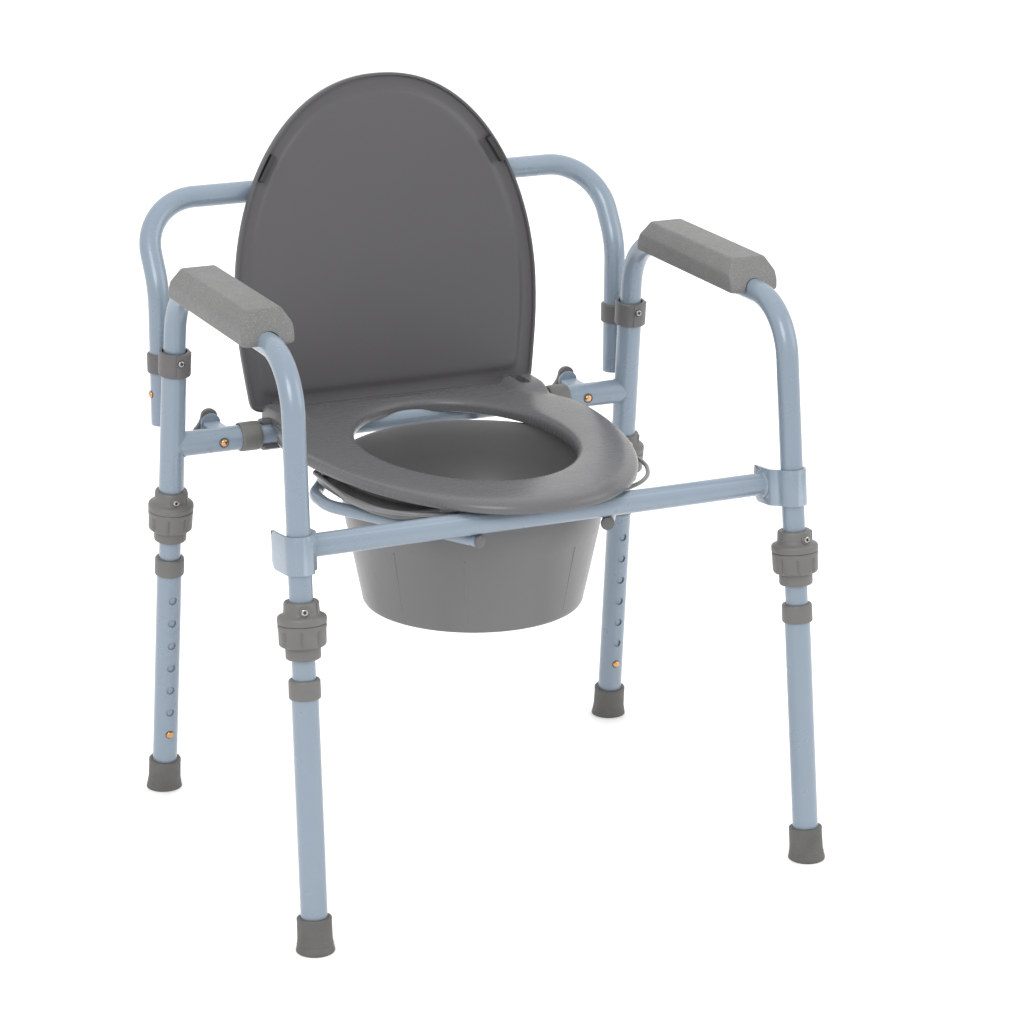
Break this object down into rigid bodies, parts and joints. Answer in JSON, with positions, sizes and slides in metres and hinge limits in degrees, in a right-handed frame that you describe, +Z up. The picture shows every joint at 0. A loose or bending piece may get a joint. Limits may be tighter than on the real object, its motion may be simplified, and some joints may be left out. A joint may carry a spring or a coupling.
{
  "type": "commode chair",
  "caption": "Steel tube commode chair with padded arms, a plug-in back rail, a hinged oval seat and lid, a hanging pail and legs that adjust in height.",
  "frame": {"origin": "on the floor, at the middle of the footprint", "axes": "+Z up; the sitter faces -Y; +X is the sitter's left"},
  "size_m": [0.5654, 0.5102, 0.7308],
  "materials": {
    "powder": "light blue powder coat, glossy",
    "seat_plastic": "moulded grey plastic, semi-gloss",
    "collar_plastic": "moulded grey plastic, satin",
    "pad": "soft pale grey grip plastic, fine pebble grain",
    "rubber": "grey rubber, matt",
    "brass": "plated snap button",
    "bumper": "dark rubber",
    "wire": "grey plastic-coated wire",
    "pail_plastic": "grey moulded plastic, satin"
  },
  "bodies": {
    "frame": {"back_rail": "powder", "cross_tube": "powder", "front_bar": "powder", "rear_upright_left": "powder", "arm_tube_left": "powder", "arm_pad_left": "pad", "tube_clip_left": "collar_plastic", "stub_cap_left": "collar_plastic", "storage_hook_left": "collar_plastic", "pail_rail_left": "powder", "rail_plug_left": "collar_plastic", "rear_inner_leg_left": "powder", "front_bracket_left": "powder", "leg_collar_front_left": "collar_plastic", "leg_collar_rear_left": "collar_plastic", "rear_upright_right": "powder", "arm_tube_right": "powder", "arm_pad_right": "pad", "tube_clip_right": "collar_plastic", "stub_cap_right": "collar_plastic", "storage_hook_right": "collar_plastic", "pail_rail_right": "powder", "rail_plug_right": "collar_plastic", "rear_inner_leg_right": "powder", "front_bracket_right": "powder", "leg_collar_front_right": "collar_plastic", "leg_collar_rear_right": "collar_plastic"},
    "seat": {"seat": "seat_plastic"},
    "lid": {"lid": "seat_plastic", "lid_bumper_left": "bumper", "lid_bumper_right": "bumper"},
    "pail": {"pail": "pail_plastic"},
    "bail": {"bail": "wire"},
    "lower_leg_front_left": {"lower_leg_front_left": "powder", "leg_ring_front_left": "collar_plastic", "foot_tip_front_left": "rubber"},
    "nut_front_left": {"collar_nut_front_left": "collar_plastic"},
    "leg_button_front_left": {"leg_button_front_left": "brass"},
    "lower_leg_front_right": {"lower_leg_front_right": "powder", "leg_ring_front_right": "collar_plastic", "foot_tip_front_right": "rubber"},
    "nut_front_right": {"collar_nut_front_right": "collar_plastic"},
    "leg_button_front_right": {"leg_button_front_right": "brass"},
    "lower_leg_rear_left": {"lower_leg_rear_left": "powder", "leg_ring_rear_left": "collar_plastic", "foot_tip_rear_left": "rubber"},
    "nut_rear_left": {"collar_nut_rear_left": "collar_plastic"},
    "leg_button_rear_left": {"leg_button_rear_left": "brass"},
    "lower_leg_rear_right": {"lower_leg_rear_right": "powder", "leg_ring_rear_right": "collar_plastic", "foot_tip_rear_right": "rubber"},
    "nut_rear_right": {"collar_nut_rear_right": "collar_plastic"},
    "leg_button_rear_right": {"leg_button_rear_right": "brass"},
    "stub_button_left": {"stub_button_left": "brass"},
    "rail_button_left": {"rail_button_left": "brass"},
    "stub_button_right": {"stub_button_right": "brass"},
    "rail_button_right": {"rail_button_right": "brass"}
  },
  "joints": [
    {"name": "seat_hinge", "type": "hinge", "parent": "frame", "child": "seat", "pos_m": [0, 0.16223, 0.3825], "axis": [-1, 0, 0], "range_deg": [0, 97]},
    {"name": "lid_hinge", "type": "hinge", "parent": "frame", "child": "lid", "pos_m": [0, 0.16223, 0.3825], "axis": [-1, 0, 0], "range_deg": [-97.4, 0]},
    {"name": "pail_lift", "type": "slide", "parent": "frame", "child": "pail", "axis": [0, 0, 1], "range_m": [0, 0.002]},
    {"name": "bail_swing", "type": "hinge", "parent": "pail", "child": "bail", "pos_m": [0, 0.03, 0.3795], "axis": [-1, 0, 0], "range_deg": [0, 2]},
    {"name": "leg_length_front_left", "type": "slide", "parent": "frame", "child": "lower_leg_front_left", "axis": [-0.0149, -0.1152, -0.9932], "range_m": [0, 0.1524]},
    {"name": "collar_twist_front_left", "type": "hinge", "parent": "frame", "child": "nut_front_left", "pos_m": [-0.25983, -0.20224, 0.29797], "axis": [0.0149, 0.1152, 0.9932], "range_deg": [0, 90]},
    {"name": "leg_button_press_front_left", "type": "slide", "parent": "frame", "child": "leg_button_front_left", "axis": [0.0009, -0.9933, 0.1152], "range_m": [0, 0.003], "stiffness_N_per_m": 800},
    {"name": "leg_length_front_right", "type": "slide", "parent": "frame", "child": "lower_leg_front_right", "axis": [0.0149, -0.1152, -0.9932], "range_m": [0, 0.1524]},
    {"name": "collar_twist_front_right", "type": "hinge", "parent": "frame", "child": "nut_front_right", "pos_m": [0.25983, -0.20224, 0.29797], "axis": [-0.0149, 0.1152, 0.9932], "range_deg": [0, 90]},
    {"name": "leg_button_press_front_right", "type": "slide", "parent": "frame", "child": "leg_button_front_right", "axis": [-0.0009, -0.9933, 0.1152], "range_m": [0, 0.003], "stiffness_N_per_m": 800},
    {"name": "leg_length_rear_left", "type": "slide", "parent": "frame", "child": "lower_leg_rear_left", "axis": [-0.0129, 0.0985, -0.9951], "range_m": [0, 0.1524]},
    {"name": "collar_twist_rear_left", "type": "hinge", "parent": "frame", "child": "nut_rear_left", "pos_m": [-0.25652, 0.17055, 0.29852], "axis": [0.0129, -0.0985, 0.9951], "range_deg": [0, 90]},
    {"name": "leg_button_press_rear_left", "type": "slide", "parent": "frame", "child": "leg_button_rear_left", "axis": [0.0006, 0.9951, 0.0985], "range_m": [0, 0.003], "stiffness_N_per_m": 800},
    {"name": "leg_length_rear_right", "type": "slide", "parent": "frame", "child": "lower_leg_rear_right", "axis": [0.0129, 0.0985, -0.9951], "range_m": [0, 0.1524]},
    {"name": "collar_twist_rear_right", "type": "hinge", "parent": "frame", "child": "nut_rear_right", "pos_m": [0.25652, 0.17055, 0.29852], "axis": [-0.0129, -0.0985, 0.9951], "range_deg": [0, 90]},
    {"name": "leg_button_press_rear_right", "type": "slide", "parent": "frame", "child": "leg_button_rear_right", "axis": [-0.0006, 0.9951, 0.0985], "range_m": [0, 0.003], "stiffness_N_per_m": 800},
    {"name": "stub_button_press_left", "type": "slide", "parent": "frame", "child": "stub_button_left", "axis": [0, 1, 0], "range_m": [0, 0.003], "stiffness_N_per_m": 800},
    {"name": "rail_button_press_left", "type": "slide", "parent": "frame", "child": "rail_button_left", "axis": [1, 0, 0], "range_m": [0, 0.003], "stiffness_N_per_m": 800},
    {"name": "stub_button_press_right", "type": "slide", "parent": "frame", "child": "stub_button_right", "axis": [0, 1, 0], "range_m": [0, 0.003], "stiffness_N_per_m": 800},
    {"name": "rail_button_press_right", "type": "slide", "parent": "frame", "child": "rail_button_right", "axis": [-1, 0, 0], "range_m": [0, 0.003], "stiffness_N_per_m": 800}
  ]
}
